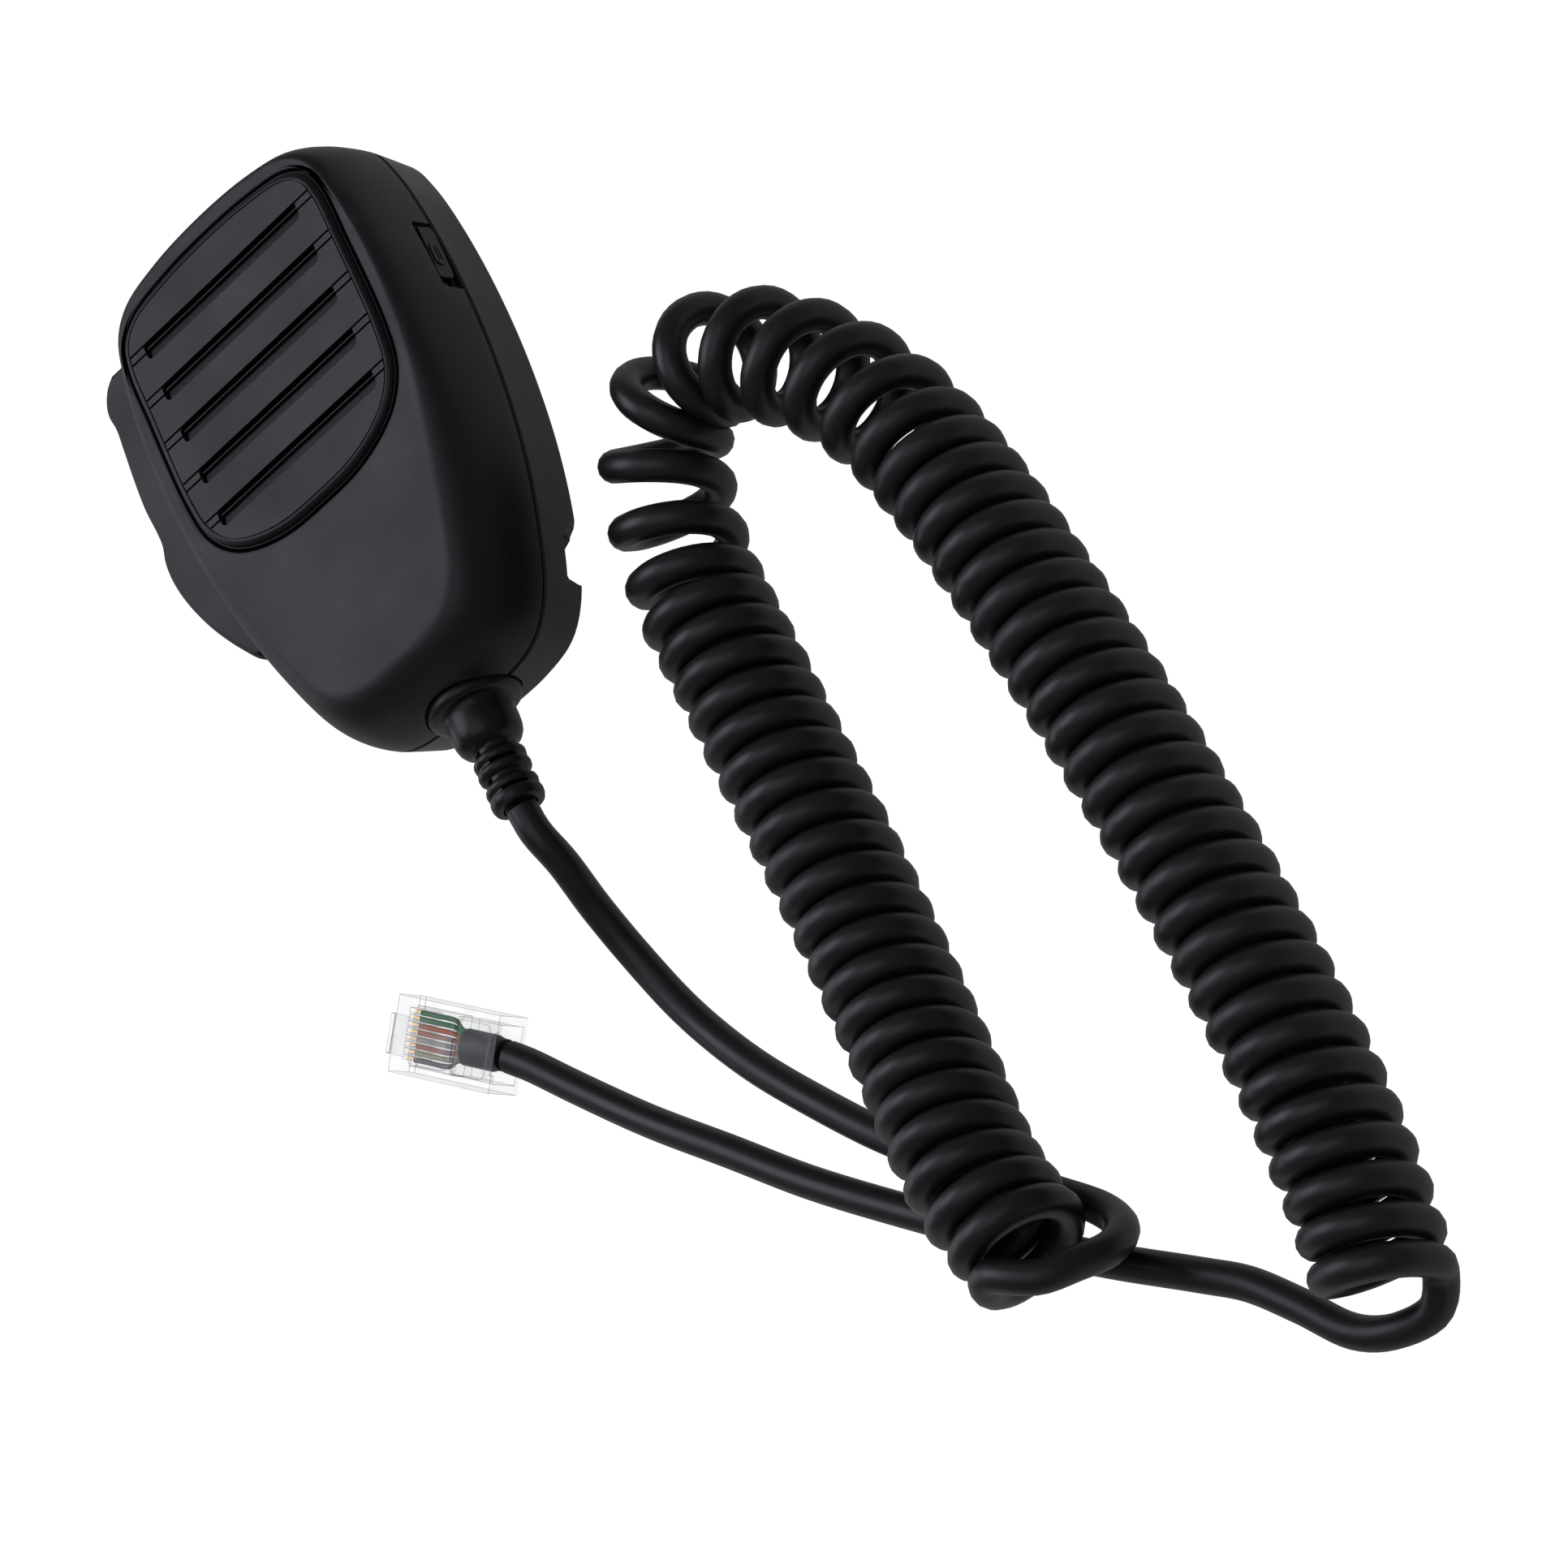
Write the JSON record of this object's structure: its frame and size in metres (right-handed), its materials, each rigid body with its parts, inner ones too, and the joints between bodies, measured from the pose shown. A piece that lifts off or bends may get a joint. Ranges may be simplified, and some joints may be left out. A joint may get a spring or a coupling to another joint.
{
  "type": "hand microphone",
  "caption": "Two-shell radio hand microphone with louvred grille, press-to-talk lever, slide switch, hanger button and a curly cord ending in a clear modular plug.",
  "frame": {"origin": "centre of the hanger head's rear face, on the plane that the microphone and its cord lie on", "axes": "+X to the microphone's right, +Y towards its top, +Z out of its front"},
  "size_m": [0.1532, 0.2499, 0.0329],
  "materials": {
    "front_shell": "moulded, fine matt grain",
    "rear_shell": "moulded, satin",
    "grille": "moulded, satin, louvred",
    "cloth": "black dust cloth",
    "soft_rubber": "moulded rubber",
    "capsule_metal": "drawn can",
    "board": "solder-masked laminate",
    "ivory_plastic": "moulded",
    "lever_plastic": "moulded, satin",
    "steel": "plated",
    "boot_rubber": "moulded, slightly glossy",
    "cord_jacket": "satin extruded jacket",
    "clear_plastic": "clear moulded polycarbonate",
    "gold": "gold-plated contact",
    "wire_white": "wire insulation",
    "wire_orange": "wire insulation",
    "wire_green": "wire insulation",
    "wire_blue": "wire insulation",
    "wire_cream": "wire insulation",
    "wire_brown": "wire insulation",
    "wire_red": "wire insulation",
    "wire_grey": "wire insulation"
  },
  "bodies": {
    "case": {"front_cover": "front_shell", "rear_cover": "rear_shell", "case_screw_1": "steel", "case_screw_2": "steel", "case_screw_3": "steel", "case_screw_4": "steel", "hanger_head": "steel", "hanger_stem": "steel", "hanger_screw": "steel", "grille_panel": "grille", "grille_cloth": "cloth", "capsule_boot": "soft_rubber", "mic_capsule": "capsule_metal", "circuit_board": "board", "board_screw_1": "steel", "board_screw_2": "steel", "board_connector": "ivory_plastic", "inner_wire_1": "wire_white", "inner_wire_2": "wire_orange", "inner_wire_3": "wire_green", "inner_wire_4": "wire_blue", "ptt_pivot_pin": "steel", "ptt_switch_body": "ivory_plastic", "lock_switch_body": "steel", "strain_relief": "boot_rubber", "cord_entry": "cord_jacket", "cord_clamp": "steel", "clamp_screw_1": "steel", "clamp_screw_2": "steel", "cord_lead": "cord_jacket", "cord_coil_near": "cord_jacket", "cord_coil_bend": "cord_jacket", "cord_coil_far": "cord_jacket", "cord_tail": "cord_jacket", "plug_body": "clear_plastic", "plug_contact_1": "gold", "plug_contact_2": "gold", "plug_contact_3": "gold", "plug_contact_4": "gold", "plug_contact_5": "gold", "plug_contact_6": "gold", "plug_contact_7": "gold", "plug_contact_8": "gold", "plug_wire_1": "wire_white", "plug_wire_2": "wire_orange", "plug_wire_3": "wire_green", "plug_wire_4": "wire_blue", "plug_wire_5": "wire_cream", "plug_wire_6": "wire_brown", "plug_wire_7": "wire_red", "plug_wire_8": "wire_grey", "plug_jacket_end": "cord_jacket"},
    "ptt": {"ptt_lever": "lever_plastic"},
    "plunger": {"ptt_switch_plunger": "soft_rubber"},
    "lock": {"lock_switch_knob": "lever_plastic"},
    "latch": {"plug_latch": "clear_plastic"}
  },
  "joints": [
    {"name": "ptt_press", "type": "hinge", "parent": "case", "child": "ptt", "pos_m": [-0.0215, -0.0285, 0.0185], "axis": [0, 0, -1], "range_deg": [0, 3.4], "stiffness_Nm_per_rad": 0.8, "springref_deg": -5.73},
    {"name": "ptt_switch_travel", "type": "slide", "parent": "case", "child": "plunger", "axis": [1, 0, 0], "range_m": [0, 0.0009]},
    {"name": "lock_slide", "type": "slide", "parent": "case", "child": "lock", "axis": [0, 1, 0], "range_m": [-0.0017, 0]},
    {"name": "latch_press", "type": "hinge", "parent": "case", "child": "latch", "pos_m": [-0.04621, -0.08918, 0.007], "axis": [0.6691, 0.7431, 0], "range_deg": [0, 9], "stiffness_Nm_per_rad": 0.3}
  ],
  "couplings": [
    {"joint": "ptt_switch_travel", "follows": "ptt_press", "m_per_rad": 0.0145}
  ]
}
